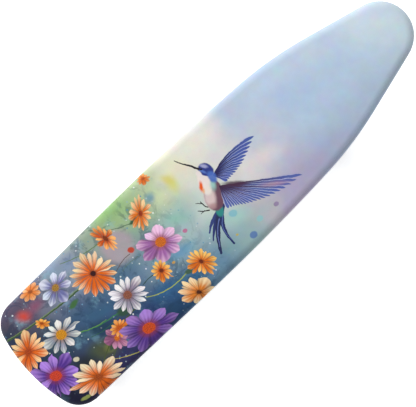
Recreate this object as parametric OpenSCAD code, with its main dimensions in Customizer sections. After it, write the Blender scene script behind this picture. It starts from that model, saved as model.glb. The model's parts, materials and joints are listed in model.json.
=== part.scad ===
// Sleeve ironing board: a padded, cloth-covered top on a folding parallelogram stand.
// Origin: centre of the footprint on the table. +X towards the nose, +Y left, +Z up. Millimetres.

/* [Board] */
// Length of the covered top, heel to nose
board_length = 510; // [500:2:530]
// Greatest width of the covered top
board_width = 130; // [128:1:134]
// Height of the pressing surface above the table
board_height = 125; // [118:1:135]
// Radius of the rounded nose
nose_r = 34; // [30:1:38]
// Radius of the two heel corners
corner_r = 26; // [25:0.5:30]
// Radius of the shallow curve across the heel
heel_r = 170; // [140:5:220]
// Angle of the straight tapers behind the nose
taper_angle = 14.5; // [13.5:0.1:15.5]

/* [Top layers] */
// Thickness of the cotton cover
cover_t = 0.8; // [0.6:0.1:1]
// Thickness of the felt pad
pad_t = 5; // [4:0.5:7]
// Thickness of the perforated steel panel
panel_t = 1; // [0.8:0.1:1.5]
// Height of the steel strip on edge under the panel's rim
rim_h = 8; // [7:0.5:8.5]
// Width of the cover's hem turned under the board
hem_w = 18; // [14:1:18]
// Width of the binding tape that holds the elastic
binding_w = 5; // [4.5:0.1:5.5]
// Distance between neighbouring vents in the panel
vent_pitch = 20; // [18:1:30]
// Corner radius of one hexagonal vent
vent_r = 4.5; // [3:0.5:6]

/* [Arms] */
// Thickness of the arm rod
arm_d = 7; // [6:0.5:7]
// Distance between the middles of an arm's two side rods
arm_width = 68; // [60:1:68]
// Lean past upright, towards the nose, at which the stand locks
lean = 6; // [4:0.5:8]
// Swing of the arms from upright to folded
swing = 84; // [80:1:86]

/* [Base] */
// Thickness of the base rod
base_d = 10; // [9:0.5:10]
// Distance between the middles of the base's two side rods
base_width = 86; // [86:1:90]
// Middle of the base's rear end rod
base_rear_x = -240; // [-242:1:-238]
// Middle of the base's front end rod
base_front_x = 150; // [130:1:155]
// Lower pivot of the rear arm
rear_pivot_x = -180; // [-185:1:-175]
// Lower pivot of the front arm
front_pivot_x = -20; // [-30:1:-10]

/* [Hidden] */
$fn = 72;

// Running clearance round a rod, and the gap between cloth and what it covers
run = 0.05;
// Overrun of a cutting shape past the face that it cuts
over = 1;

// The top's outline: a nose arc, a straight taper, a shoulder arc, a long body arc,
// a straight side and a corner arc, closed by the heel arc. Each arc has one centre for
// every inset, so outline(d) lies d inside outline(0) all the way round.
shoulder_r = 390;
body_r = 2400;
body_start = 86.8;
body_end = 90.7;
taper_end = 90 - taper_angle;
function dir(a) = [cos(a), sin(a)];
function along(a) = [-sin(a), cos(a)];
nose_c = [board_length / 2 - nose_r, 0];
taper_len = (board_width / 2 - body_r * (1 - sin(body_start))
    - shoulder_r * (sin(body_start) - sin(taper_end)) - nose_r * sin(taper_end)) / cos(taper_end);
shoulder_c = nose_c + (nose_r - shoulder_r) * dir(taper_end) + taper_len * along(taper_end);
body_c = shoulder_c + (shoulder_r - body_r) * dir(body_start);
heel_c = [heel_r - board_length / 2, 0];
// The corner's centre is on the side line's inner parallel, heel_r - corner_r from the heel's centre
side_q = body_c + (body_r - corner_r) * dir(body_end) - heel_c;
side_d = along(body_end);
side_len = -side_q * side_d
    + sqrt(pow(side_q * side_d, 2) - side_q * side_q + pow(heel_r - corner_r, 2));
corner_c = heel_c + side_q + side_len * side_d;
corner_end = 180 - asin(corner_c[1] / (heel_r - corner_r));
// Steps along each arc
nose_steps = 12;
shoulder_steps = 5;
body_steps = 4;
corner_steps = 9;
heel_steps = 3;
// Points i0 to n of an arc in n equal steps; an arc that carries on another one leaves out point 0
function arc(c, r, a0, a1, n, i0) = [for (i = [i0:n]) c + r * dir(a0 + (a1 - a0) * i / n)];
function half_outline(d) = concat(
    arc(nose_c, nose_r - d, 0, taper_end, nose_steps, 0),
    arc(shoulder_c, shoulder_r - d, taper_end, body_start, shoulder_steps, 0),
    arc(body_c, body_r - d, body_start, body_end, body_steps, 1),
    arc(corner_c, corner_r - d, body_end, corner_end, corner_steps, 0),
    arc(heel_c, heel_r - d, corner_end, 180, heel_steps, 1));
function other_half(p) = [for (i = [len(p) - 2:-1:1]) [p[i][0], -p[i][1]]];
function outline(d) = concat(half_outline(d), other_half(half_outline(d)));

// Heights of the layers, from the top down
pad_top = board_height - cover_t;
panel_top = pad_top - pad_t;
panel_base = panel_top - panel_t;
rim_base = panel_base - rim_h;
hem_base = rim_base - cover_t;
rim_t = 2;
binding_h = 2.5;
tape_t = 0.8;

// Rails: folded channels of sheet steel
sheet_t = 1.5;
rail_w = 30;
mid_rail_w = 24;
spine_w = 16;
board_rail_h = 6.15;
base_rail_h = 9;

// Pivots: the arms are as long as it takes to reach from the base rails to the board rails
arm_r = arm_d / 2;
bore_r = arm_r + run;
base_z = 8;
base_r = base_d / 2;
pivot_z = 17;
base_rail_top = pivot_z - bore_r;
board_rail_base = panel_base - board_rail_h;
top_pivot_z = board_rail_base - bore_r;
lift = top_pivot_z - pivot_z;
reach = lift * tan(lean);
arm_length = lift / cos(lean);
arm_bend_r = 10;
base_bend_r = 22;

// Saddle clips, riveted over a rod's crosspiece
clip_w = 14;
clip_y = 14;
clip_foot = 8;
clip_out = bore_r + sheet_t + clip_foot;
rivet_x = bore_r + sheet_t + clip_foot / 2;
rivet_r = 1.6;
head_r = 2.8;
head_h = 1.4;
// Share of head_r at the crown of a rivet's head, and across its set tail
crown_share = 0.6;
tail_share = 0.8;

// The catch clips stand on the front base rail and hold the front arm's side rods
catch_t = 1.2;
catch_low = 11;
catch_high = 19;
catch_foot_x = 14;
catch_foot_y = 11;
catch_jaw = 3;
catch_y = arm_width / 2;
catch_rivet_x = front_pivot_x + catch_foot_x - 4.2;
catch_rivet_y = catch_y - 7;
// Edge of the block that trims what the leaning leaf would push below its foot
catch_trim = 40;

// The buffer under the front board clips when the stand is folded: the arms still rise a little
folded_rise = 90 + lean - swing;
buffer_x = front_pivot_x - arm_length * cos(folded_rise);
folded_z = pivot_z + arm_length * sin(folded_rise);
buffer_gap = 0.3;
buffer_top = folded_z - bore_r - sheet_t - buffer_gap;
buffer_l = 46;
buffer_w = 18;
buffer_rivet_y = buffer_l / 2 - 6;
well_r = head_r + 0.5;

foot_l = 20;
foot_r = 8;
foot_x = [116, -206.5];
steel = [0.72, 0.73, 0.75];
rubber = [0.13, 0.13, 0.14];

// A solid with the top's outline, inset by d, from z0 up to z1
module slab(d, z0, z1) {
    translate([0, 0, z0]) linear_extrude(z1 - z0) polygon(outline(d));
}

// A ring that follows the outline between two insets
module ring(d_out, d_in, z0, z1) {
    difference() {
        slab(d_out, z0, z1);
        slab(d_in, z0 - over, z1 + over);
    }
}

module cover() {
    color([0.62, 0.70, 0.80]) difference() {
        slab(0, hem_base, board_height);
        slab(cover_t, rim_base, pad_top);
        slab(hem_w, hem_base - over, rim_base + over);
    }
}

module hem_binding() {
    color([0.90, 0.90, 0.88]) difference() {
        ring(hem_w, hem_w + binding_w, hem_base, hem_base + binding_h);
        ring(hem_w + tape_t, hem_w + binding_w - tape_t,
            hem_base + tape_t, hem_base + binding_h - tape_t);
    }
}

module hem_elastic() {
    color([0.96, 0.96, 0.95])
        ring(hem_w + tape_t, hem_w + binding_w - tape_t,
            hem_base + tape_t, hem_base + binding_h - tape_t);
}

module pad() {
    color([0.88, 0.86, 0.80]) slab(cover_t + run, panel_top, pad_top);
}

// Vents: a staggered field of hexagonal holes that keeps clear of the rim and the rails
vent_row = vent_pitch * sin(60);
vent_margin = rim_t + vent_r + 8;
vent_rows = ceil(board_width / 2 / vent_row);
vent_columns = ceil(board_length / 2 / vent_pitch);
function inside(p) = let (q = outline(vent_margin), n = len(q))
    min([for (i = [0:n - 1]) let (a = q[i], b = q[(i + 1) % n])
        (b[0] - a[0]) * (p[1] - a[1]) - (b[1] - a[1]) * (p[0] - a[0])]) > 0;
function clear_of_rails(p) = min([for (x = [rear_pivot_x, front_pivot_x])
    abs(p[0] - x - reach)]) > rail_w / 2 + vent_r;
vents = [for (j = [-vent_rows:vent_rows], i = [-vent_columns:vent_columns])
    let (p = [(i + (j % 2 == 0 ? 0 : 0.5)) * vent_pitch, j * vent_row])
    if (inside(p) && clear_of_rails(p)) p];

module top_panel() {
    color(steel) difference() {
        slab(cover_t + run, panel_base, panel_top);
        for (p = vents) translate([p[0], p[1], panel_base - over])
            rotate(30) cylinder(h = panel_t + 2 * over, r = vent_r, $fn = 6);
    }
}

module rim_band() {
    color(steel) ring(cover_t + run, cover_t + run + rim_t, rim_base, panel_base);
}

// A U channel on its back: length along Y, width along X, open at the top
module channel(length, width, height) {
    translate([-width / 2, -length / 2, 0]) difference() {
        cube([width, length, height]);
        translate([sheet_t, -over, sheet_t])
            cube([width - 2 * sheet_t, length + 2 * over, height]);
    }
}

// Two rivet holes for each of a rail's two clips
module clip_holes(z) {
    for (sx = [-1, 1], sy = [-1, 1]) translate([sx * rivet_x, sy * clip_y, z - over])
        cylinder(h = sheet_t + 2 * over, r = rivet_r);
}

module board_rail(x) {
    color(steel) intersection() {
        translate([x + reach, 0, board_rail_base]) difference() {
            channel(board_width, rail_w, panel_base - board_rail_base);
            clip_holes(0);
        }
        slab(cover_t + run + rim_t, rim_base, panel_base);
    }
}
module board_rail_front() { board_rail(front_pivot_x); }
module board_rail_rear() { board_rail(rear_pivot_x); }

// The spine stiffens the top between the rails and out to the nose
module spine(x0, x1) {
    color(steel) intersection() {
        translate([(x0 + x1) / 2, 0, board_rail_base]) rotate(90)
            channel(x1 - x0, spine_w, panel_base - board_rail_base);
        slab(cover_t + run + rim_t, rim_base, panel_base);
    }
}
module spine_front() { spine(front_pivot_x + reach + rail_w / 2, board_length / 2); }
module spine_rear() {
    spine(rear_pivot_x + reach + rail_w / 2, front_pivot_x + reach - rail_w / 2);
}

// A saddle clip over a rod along Y: the rod's axis is the origin, the rail is below
module saddle() {
    rotate([90, 0, 0]) difference() {
        union() {
            cylinder(h = clip_w, r = bore_r + sheet_t, center = true);
            translate([0, -bore_r / 2, 0])
                cube([2 * (bore_r + sheet_t), bore_r, clip_w], center = true);
            translate([0, sheet_t / 2 - bore_r, 0])
                cube([2 * clip_out, sheet_t, clip_w], center = true);
        }
        cylinder(h = clip_w + 2 * over, r = bore_r, center = true);
        translate([0, -bore_r, 0])
            cube([2 * bore_r, 2 * bore_r, clip_w + 2 * over], center = true);
        translate([0, -2 * bore_r, 0])
            cube([4 * clip_out, 2 * bore_r, clip_w + 2 * over], center = true);
        for (s = [-1, 1]) translate([s * rivet_x, -bore_r, 0]) rotate([90, 0, 0])
            cylinder(h = 4 * sheet_t, r = rivet_r, center = true);
    }
}

// A rivet down through a clip's foot and a rail's web; the web's outer face is z = 0
module rivet() {
    translate([0, 0, -sheet_t]) cylinder(h = 2 * sheet_t, r = rivet_r);
    translate([0, 0, sheet_t]) cylinder(h = head_h, r1 = head_r, r2 = head_r * crown_share);
    translate([0, 0, -sheet_t - head_h / 2]) cylinder(h = head_h / 2, r = head_r * tail_share);
}

module base_clip(x, side) {
    color(steel) translate([x, side * clip_y, pivot_z]) saddle();
}
module board_clip(x, side) {
    color(steel) translate([x + reach, side * clip_y, top_pivot_z]) rotate([180, 0, 0]) saddle();
}
module base_clip_front_left() { base_clip(front_pivot_x, 1); }
module base_clip_front_right() { base_clip(front_pivot_x, -1); }
module base_clip_rear_left() { base_clip(rear_pivot_x, 1); }
module base_clip_rear_right() { base_clip(rear_pivot_x, -1); }
module board_clip_front_left() { board_clip(front_pivot_x, 1); }
module board_clip_front_right() { board_clip(front_pivot_x, -1); }
module board_clip_rear_left() { board_clip(rear_pivot_x, 1); }
module board_clip_rear_right() { board_clip(rear_pivot_x, -1); }

module base_rivets() {
    color(steel) for (x = [front_pivot_x, rear_pivot_x], sx = [-1, 1], sy = [-1, 1])
        translate([x + sx * rivet_x, sy * clip_y, base_rail_top]) rivet();
}
module board_rivets() {
    color(steel) for (x = [front_pivot_x, rear_pivot_x], sx = [-1, 1], sy = [-1, 1])
        translate([x + reach + sx * rivet_x, sy * clip_y, board_rail_base])
            rotate([180, 0, 0]) rivet();
}

// A rounded rectangle of round rod in the XY plane, measured between rod middles
module rod_loop(length, width, r, bend) {
    for (s = [-1, 1]) {
        translate([-length / 2 + bend, s * width / 2, 0]) rotate([0, 90, 0])
            cylinder(h = length - 2 * bend, r = r);
        translate([s * length / 2, -width / 2 + bend, 0]) rotate([-90, 0, 0])
            cylinder(h = width - 2 * bend, r = r);
    }
    for (q = [0:3]) {
        sx = q == 0 || q == 3 ? 1 : -1;
        sy = q < 2 ? 1 : -1;
        translate([sx * (length / 2 - bend), sy * (width / 2 - bend), 0]) rotate(90 * q)
            rotate_extrude(angle = 90) translate([bend, 0]) circle(r = r);
    }
}

// An arm: one closed loop whose end rods are the lower and upper pivots
module arm(x) {
    color(steel) translate([x, 0, pivot_z]) rotate([0, lean - 90, 0])
        translate([arm_length / 2, 0, 0])
            rod_loop(arm_length, arm_width, arm_r, arm_bend_r);
}
module rear_arm() { arm(rear_pivot_x); }
module front_arm() { arm(front_pivot_x); }

module base_loop() {
    color(steel) translate([(base_rear_x + base_front_x) / 2, 0, base_z])
        rod_loop(base_front_x - base_rear_x, base_width, base_r, base_bend_r);
}

// A base rail: a channel with its back up, coped to the two side rods
module base_rail(x, width) {
    difference() {
        translate([x, 0, base_rail_top]) rotate([180, 0, 0])
            channel(base_width, width, base_rail_h);
        for (s = [-1, 1]) translate([x - width, s * base_width / 2, base_z])
            rotate([0, 90, 0]) cylinder(h = 2 * width, r = base_r);
    }
}
module pivot_rail(x) {
    difference() {
        base_rail(x, rail_w);
        translate([x, 0, base_rail_top - sheet_t]) clip_holes(0);
    }
}
module catch_holes() {
    for (s = [-1, 1]) translate([catch_rivet_x, s * catch_rivet_y, base_rail_top - 2 * sheet_t])
        cylinder(h = 6 * sheet_t, r = rivet_r);
}
module base_rail_front() {
    color(steel) difference() {
        pivot_rail(front_pivot_x);
        catch_holes();
    }
}
module base_rail_rear() { color(steel) pivot_rail(rear_pivot_x); }
module base_rail_mid() {
    color(steel) difference() {
        base_rail(buffer_x, mid_rail_w);
        for (s = [-1, 1]) translate([buffer_x, s * buffer_rivet_y, base_rail_top - 2 * sheet_t])
            cylinder(h = 4 * sheet_t, r = rivet_r);
    }
}

// A spring catch: a leaf up the front of the side rod, and two jaws round the rod.
// Its frame is the arm's own at rest, so the leaf is the stop that the rod leans on.
module catch_clip(side) {
    color(steel) translate([front_pivot_x, side * catch_y, pivot_z]) difference() {
        union() {
            rotate([0, lean, 0]) {
                translate([bore_r, -bore_r - catch_t, -bore_r - over])
                    cube([catch_t, 2 * (bore_r + catch_t), catch_high + bore_r + over]);
                for (s = [-1, 1])
                    translate([-catch_jaw, s * (bore_r + catch_t / 2) - catch_t / 2, catch_low])
                        cube([catch_jaw + bore_r + catch_t, catch_t, catch_high - catch_low]);
            }
            translate([bore_r, side > 0 ? -catch_foot_y : -bore_r - catch_t, -bore_r])
                cube([catch_foot_x - bore_r, catch_foot_y + bore_r + catch_t, sheet_t]);
        }
        translate([-catch_trim / 2, -catch_trim / 2, -bore_r - catch_trim]) cube(catch_trim);
        translate([catch_rivet_x - front_pivot_x, side * (catch_rivet_y - catch_y), -bore_r - over])
            cylinder(h = sheet_t + 2 * over, r = rivet_r);
    }
}
module catch_clip_left() { catch_clip(1); }
module catch_clip_right() { catch_clip(-1); }
module catch_rivets() {
    color(steel) for (s = [-1, 1])
        translate([catch_rivet_x, s * catch_rivet_y, base_rail_top]) rivet();
}

// Rubber block that the front board clips come down on, with wells for its two rivets
module rest_buffer() {
    color(rubber) difference() {
        translate([buffer_x - buffer_w / 2, -buffer_l / 2, base_rail_top])
            cube([buffer_w, buffer_l, buffer_top - base_rail_top]);
        for (s = [-1, 1]) translate([buffer_x, s * buffer_rivet_y, base_rail_top - over]) {
            cylinder(h = buffer_top, r = rivet_r);
            translate([0, 0, over + sheet_t]) cylinder(h = buffer_top, r = well_r);
        }
    }
}
module buffer_rivets() {
    color(steel) for (s = [-1, 1])
        translate([buffer_x, s * buffer_rivet_y, base_rail_top]) rivet();
}

// A rubber sleeve on a side rod, flat underneath
module foot(x, side) {
    color(rubber) translate([x, side * base_width / 2, 0]) difference() {
        union() {
            translate([0, 0, base_z]) rotate([0, 90, 0])
                cylinder(h = foot_l, r = foot_r, center = true);
            translate([-foot_l / 2, -foot_r, 0]) cube([foot_l, 2 * foot_r, base_z]);
        }
        translate([0, 0, base_z]) rotate([0, 90, 0])
            cylinder(h = foot_l + 2 * over, r = base_r, center = true);
    }
}
module foot_front_left() { foot(foot_x[0], 1); }
module foot_front_right() { foot(foot_x[0], -1); }
module foot_rear_left() { foot(foot_x[1], 1); }
module foot_rear_right() { foot(foot_x[1], -1); }

cover();
hem_binding();
hem_elastic();
pad();
top_panel();
rim_band();
board_rail_front();
board_rail_rear();
spine_front();
spine_rear();
board_clip_front_left();
board_clip_front_right();
board_clip_rear_left();
board_clip_rear_right();
board_rivets();
rear_arm();
front_arm();
base_loop();
base_rail_front();
base_rail_mid();
base_rail_rear();
base_clip_front_left();
base_clip_front_right();
base_clip_rear_left();
base_clip_rear_right();
base_rivets();
catch_clip_left();
catch_clip_right();
catch_rivets();
rest_buffer();
buffer_rivets();
foot_front_left();
foot_front_right();
foot_rear_left();
foot_rear_right();
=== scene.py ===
# %% [markdown]
# # A sleeve ironing board
# The board is a narrow padded top on a low folding stand of bent rod. The frame that is loaded here
# already holds every steel and rubber part at its true size and place, grouped by what moves together.
# This lesson gives the parts their soft edges and finishes, and makes the cloth cover with its gathered
# hem, the felt under it, and the painted print. Everything is in metres, in the frame's own axes:
# X runs to the nose, Y to the left, Z up, and the table is at zero.

# %% Load the frame
import json
import math
import random

import bmesh
import bpy
from mathutils import Matrix, Vector, noise


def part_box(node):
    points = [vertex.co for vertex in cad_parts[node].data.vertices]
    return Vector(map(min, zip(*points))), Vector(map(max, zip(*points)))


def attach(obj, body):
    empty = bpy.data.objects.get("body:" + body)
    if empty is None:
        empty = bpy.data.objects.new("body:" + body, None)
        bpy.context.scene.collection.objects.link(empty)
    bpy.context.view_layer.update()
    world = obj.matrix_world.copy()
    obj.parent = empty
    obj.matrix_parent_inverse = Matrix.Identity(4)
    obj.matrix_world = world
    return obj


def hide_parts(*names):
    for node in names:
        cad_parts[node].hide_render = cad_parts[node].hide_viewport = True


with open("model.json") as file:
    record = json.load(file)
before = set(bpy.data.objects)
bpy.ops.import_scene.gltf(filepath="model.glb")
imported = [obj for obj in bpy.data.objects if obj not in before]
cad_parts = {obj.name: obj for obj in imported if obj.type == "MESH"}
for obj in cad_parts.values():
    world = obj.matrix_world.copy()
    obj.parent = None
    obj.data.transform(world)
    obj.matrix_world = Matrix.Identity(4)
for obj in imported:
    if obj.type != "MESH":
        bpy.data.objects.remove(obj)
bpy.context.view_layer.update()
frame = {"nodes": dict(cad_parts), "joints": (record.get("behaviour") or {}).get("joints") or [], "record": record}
MM = 0.001

# %% [markdown]
# ## The camera
# A long lens far above the board shows its true outline. The camera turns about the vertical so that the
# nose points up and to the right, and leans a few degrees so that the near side of the cover shows as
# a thin band. With a 200 mm lens the distance alone sets how much of the table fills the frame.

# %% Camera above the board
cover_low, cover_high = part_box("cover")
TURN = math.radians(44.1)
LEAN = math.radians(4.5)
LENS = 200
FRAME_WIDTH = 0.4065
AIM = (-0.0142, -0.0022)
scene = bpy.context.scene
right = Vector((math.cos(TURN), -math.sin(TURN), 0))
looked_at = Vector((*AIM, cover_high.z))
lens_data = bpy.data.cameras.new("overhead_lens")
lens_data.lens = LENS
lens_data.clip_end = 20
distance = FRAME_WIDTH * LENS / lens_data.sensor_width
back = (Matrix.Rotation(LEAN, 3, "X") @ Vector((0, 0, 1))).normalized()
camera = bpy.data.objects.new("overhead_camera", lens_data)
scene.collection.objects.link(camera)
side = (right - back * right.dot(back)).normalized()
camera.matrix_world = Matrix.Translation(looked_at + back * distance) @ Matrix(
    (side, back.cross(side), back)).transposed().to_4x4()
scene.camera = camera
scene.view_settings.view_transform = "Standard"
print("camera is", round(distance, 2), "m from the cloth")

# %% [markdown]
# ## The outline of the top
# The top is drawn as a tailor would cut it: a nose arc, a straight taper, a shoulder, one very long
# body arc, a straight side, a corner and a shallow heel. Each arc keeps its centre when the line moves
# in or out, so a place on the edge and its outward direction give every ring that the cloth needs.

# %% Arcs and even places along the edge
NOSE_R, SHOULDER_R, BODY_R = 0.034, 0.390, 2.4
CORNER_R, HEEL_R = 0.026, 0.170
TAPER_END, BODY_START, BODY_END = (math.radians(a) for a in (75.5, 86.8, 90.7))
HALF_LENGTH, HALF_WIDTH = cover_high.x, cover_high.y


def direction(angle):
    return Vector((math.cos(angle), math.sin(angle)))


def quarter_turn(v):
    return Vector((-v.y, v.x))


def edge_arcs():
    """(centre, radius, first angle, last angle) of each arc on the left half, from the nose to the heel."""
    nose = Vector((HALF_LENGTH - NOSE_R, 0))
    rise = (HALF_WIDTH - BODY_R * (1 - math.sin(BODY_START)) - NOSE_R * math.sin(TAPER_END)
            - SHOULDER_R * (math.sin(BODY_START) - math.sin(TAPER_END)))
    taper = rise / math.cos(TAPER_END)
    normal = direction(TAPER_END)
    shoulder = nose + (NOSE_R - SHOULDER_R) * normal + taper * quarter_turn(normal)
    body = shoulder + (SHOULDER_R - BODY_R) * direction(BODY_START)
    heel = Vector((HEEL_R - HALF_LENGTH, 0))
    start = body + (BODY_R - CORNER_R) * direction(BODY_END) - heel
    along = quarter_turn(direction(BODY_END))
    reach = start.dot(along)
    run = math.sqrt(reach ** 2 - start.length_squared + (HEEL_R - CORNER_R) ** 2) - reach
    corner = heel + start + run * along
    turn = math.pi - math.asin(corner.y / (HEEL_R - CORNER_R))
    return [(nose, NOSE_R, 0, TAPER_END), (shoulder, SHOULDER_R, TAPER_END, BODY_START),
            (body, BODY_R, BODY_START, BODY_END), (corner, CORNER_R, BODY_END, turn),
            (heel, HEEL_R, turn, math.pi)]


def edge_places(spacing):
    """Even places all round the edge, each (point, outward normal, curvature)."""
    half = []
    for centre, radius, first, last in edge_arcs():
        start = centre + radius * direction(first)
        if half:
            before, normal, _ = half[-1]
            steps = round((start - before).length / spacing)
            half += [(before.lerp(start, k / steps), normal, 0.0) for k in range(1, steps)]
        steps = max(2, round(radius * (last - first) / spacing))
        skip = 1 if half and (start - half[-1][0]).length < spacing / 2 else 0
        for k in range(skip, steps + 1):
            normal = direction(first + (last - first) * k / steps)
            half.append((centre + radius * normal, normal, 1 / radius))
    other = [(Vector((p.x, -p.y)), Vector((n.x, -n.y)), c) for p, n, c in half[-2:0:-1]]
    return half + other


EDGE_STEP = 1.3 * MM
places = edge_places(EDGE_STEP)
print(len(places), "places round the edge")

# %% [markdown]
# ## Gathers in the hem
# Elastic pulls the hem in under the board. Where the edge is straight the cloth lies nearly flat, and
# where it turns, at the nose and the two heel corners, the spare cloth stands up in folds. A number
# called fullness follows how sharply the edge turns, spread a little along it, and drives how
# high the folds stand. The folds' spacing wanders, so that no two are alike.

# %% Fullness and fold phase at each place
random.seed(7)
FOLD_PITCH = 7.5 * MM
SPREAD = 11
count = len(places)
bend = [min(1.0, c * NOSE_R) for _, _, c in places]
fullness = []
for i in range(count):
    near = [bend[(i + k) % count] for k in range(-SPREAD, SPREAD + 1)]
    fullness.append(sum(near) / len(near))
perimeter = sum((places[i][0] - places[i - 1][0]).length for i in range(count))
folds = round(perimeter / FOLD_PITCH)
phase = []
for i, (point, _, _) in enumerate(places):
    wander = noise.noise(Vector((point.x * 42, point.y * 42, 3.1))) * 2.4
    phase.append(2 * math.pi * folds * i / count + wander)
print("perimeter", round(perimeter, 3), "m,", folds, "folds")


def fold_height(i):
    """How far the cloth stands above its even place where the hem is gathered, in metres."""
    point = places[i][0]
    uneven = 0.75 + 0.5 * noise.noise(Vector((point.x * 90, point.y * 90, 8.2)))
    return (0.28 + 0.95 * fullness[i]) * uneven * math.sin(phase[i]) * MM


# %% [markdown]
# ## Lofting rings
# The cover, the felt and the binding are all rings that follow the edge. A ring starts as a loop of
# edges, and each extrusion makes the next one. The new points are then set in from the edge and
# brought to their height. The cloth also remembers where each point lay while it was still flat
# on the cutting table, so the print runs over the side without smearing.

# %% A loft of rings
def smoothstep(x):
    x = min(1.0, max(0.0, x))
    return x * x * (3 - 2 * x)


def loft(name, rings, shape, caps=(), closed=False):
    """Rings of (inset, height) joined into a skin. shape(i, inset, height) gives each point."""
    bm = bmesh.new()
    step = bm.verts.layers.int.new("step")
    flat = bm.verts.layers.float_vector.new("flat")
    travel = [0.0]
    for (d0, z0), (d1, z1) in zip(rings, rings[1:]):
        travel.append(travel[-1] + math.hypot(d1 - d0, z1 - z0))

    def settle(verts, k):
        for v in verts:
            i = v[step]
            point, normal, _ = places[i]
            v.co = shape(i, *rings[k])
            v[flat] = (point - normal * (rings[0][0] - travel[k])).to_3d()

    verts = [bm.verts.new((0, 0, 0)) for _ in places]
    for i, v in enumerate(verts):
        v[step] = i
    loop = [bm.edges.new((verts[i - 1], verts[i])) for i in range(len(verts))]
    settle(verts, 0)
    loops = [loop]
    for k in range(1, len(rings)):
        made = bmesh.ops.extrude_edge_only(bm, edges=loops[-1])["geom"]
        fresh = [g for g in made if isinstance(g, bmesh.types.BMVert)]
        settle(fresh, k)
        fresh = set(fresh)
        loops.append([g for g in made if isinstance(g, bmesh.types.BMEdge)
                      and g.verts[0] in fresh and g.verts[1] in fresh])
    if closed:
        bmesh.ops.bridge_loops(bm, edges=loops[0] + loops[-1])
    for end in caps:
        bmesh.ops.triangle_fill(bm, edges=loops[end], use_beauty=True)
    bmesh.ops.recalc_face_normals(bm, faces=bm.faces)
    return make_piece(name, bm)


def make_piece(name, bm, smooth_angle=math.radians(40)):
    mesh = bpy.data.meshes.new(name)
    bm.to_mesh(mesh)
    bm.free()
    mesh.shade_smooth()
    mesh.set_sharp_from_angle(angle=smooth_angle)
    piece = bpy.data.objects.new(name, mesh)
    scene.collection.objects.link(piece)
    print(name, len(mesh.polygons), "faces")
    return piece


def on_edge(i, inset, height):
    point, normal, _ = places[i]
    p = point - normal * inset
    return Vector((p.x, p.y, height))


# %% [markdown]
# ## The cover
# On the real board one piece of printed cotton is pulled over the felt, down over the rounded edge and
# under the rim. Its section is a soft shoulder above, a short side and a hem that turns in. Cloth held
# this tight over felt has no free shape of its own, so its section is given. Only the hem is
# slack: its folds grow from nothing at the rim to their full height at the binding.

# %% Cover section and skin
TOP_Z, HEM_Z = cover_high.z, cover_low.z
SHOULDER_ACROSS, SHOULDER_DOWN = 8.5 * MM, 6.5 * MM
RIM_ROUND = 1.4 * MM
HEM_WIDTH = 18 * MM
CROWN = 0.35 * MM
HEM_RISE = 1.0 * MM


def cover_rings():
    rings = []
    for inset in (24.5, 21, 17.5, 14, 11.2):
        rings.append((inset * MM, TOP_Z - CROWN * smoothstep((24.5 - inset) / 16)))
    steps = 9
    for k in range(steps + 1):
        a = math.pi / 2 * k / steps
        rings.append((SHOULDER_ACROSS * (1 - math.sin(a)),
                      TOP_Z - CROWN - (SHOULDER_DOWN - CROWN) * (1 - math.cos(a))))
    side = TOP_Z - SHOULDER_DOWN - HEM_Z - RIM_ROUND
    for k in (1, 2, 3):
        rings.append((0.0, TOP_Z - SHOULDER_DOWN - side * k / 4))
    for k in range(5):
        a = math.pi / 2 * k / 4
        rings.append((RIM_ROUND * (1 - math.cos(a)), HEM_Z + RIM_ROUND * (1 - math.sin(a))))
    for inset in (3, 5, 7, 9, 11, 13, 15, 16.6, 18.2):
        share = (inset * MM - RIM_ROUND) / (HEM_WIDTH - RIM_ROUND)
        rings.append((inset * MM, HEM_Z + HEM_RISE * smoothstep(share)))
    return rings


def cover_shape(i, inset, height):
    p = on_edge(i, inset, height)
    if height < HEM_Z + HEM_RISE and inset > RIM_ROUND:
        share = smoothstep((inset - RIM_ROUND) / (HEM_WIDTH - RIM_ROUND))
        p.z += fold_height(i) * share
    elif height < TOP_Z - SHOULDER_DOWN:
        low_down = smoothstep((TOP_Z - SHOULDER_DOWN - height) / (9 * MM))
        normal = places[i][1]
        p -= normal.to_3d() * (0.22 * MM + 0.32 * fold_height(i)) * fullness[i] * low_down
    return p


cover = loft("printed_cover", cover_rings(), cover_shape, caps=(0,))
thickness = cover.modifiers.new("cloth", "SOLIDIFY")
thickness.thickness = 0.5 * MM
thickness.offset = -1

# %% [markdown]
# ## The felt pad
# Under the cotton lies a slab of needled felt with the same outline. The iron's weight and the tight
# cover have rounded its upper edge. It can be seen only through the vents in the steel from below.

# %% Felt pad
pad_low, pad_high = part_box("pad")
PAD_IN = HALF_LENGTH - pad_high.x
PAD_TURN, PAD_FALL, PAD_DISH = 8 * MM, 4.2 * MM, 0.35 * MM
PAD_LIFT = 0.02 * MM
pad_rings = [(26.0 * MM - PAD_IN, pad_high.z), (12 * MM, pad_high.z - 0.2 * MM)]
for k in range(8):
    a = math.pi / 2 * k / 7
    pad_rings.append((PAD_IN + PAD_TURN * (1 - math.sin(a)),
                      pad_high.z - PAD_DISH - PAD_FALL * (1 - math.cos(a))))
pad_rings.append((PAD_IN + 0.1 * MM, pad_low.z + PAD_LIFT))
pad_rings.append((24 * MM, pad_low.z + PAD_LIFT))
felt_pad = loft("felt_pad", pad_rings, on_edge, caps=(0, -1))

# %% [markdown]
# ## Binding and elastic
# The raw edge of the hem is folded into a cotton tape, and a flat elastic runs inside the tape. Both
# follow the folds, so they are lofted from one oval section that rides up and down with the cloth. Two
# rows of small stitches hold the tape. Each stitch is a short round-ended thread.

# %% Binding tape, elastic and stitches
BINDING_MID = 20.3 * MM
PUCKER = 0.16
binding_z = HEM_Z + HEM_RISE + 0.35 * MM


def oval_rings(half_across, half_up, sides, middle=BINDING_MID):
    rings = []
    for k in range(sides):
        a = 2 * math.pi * k / sides
        rings.append((middle + half_across * math.cos(a), binding_z + half_up * math.sin(a)))
    return rings


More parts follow.
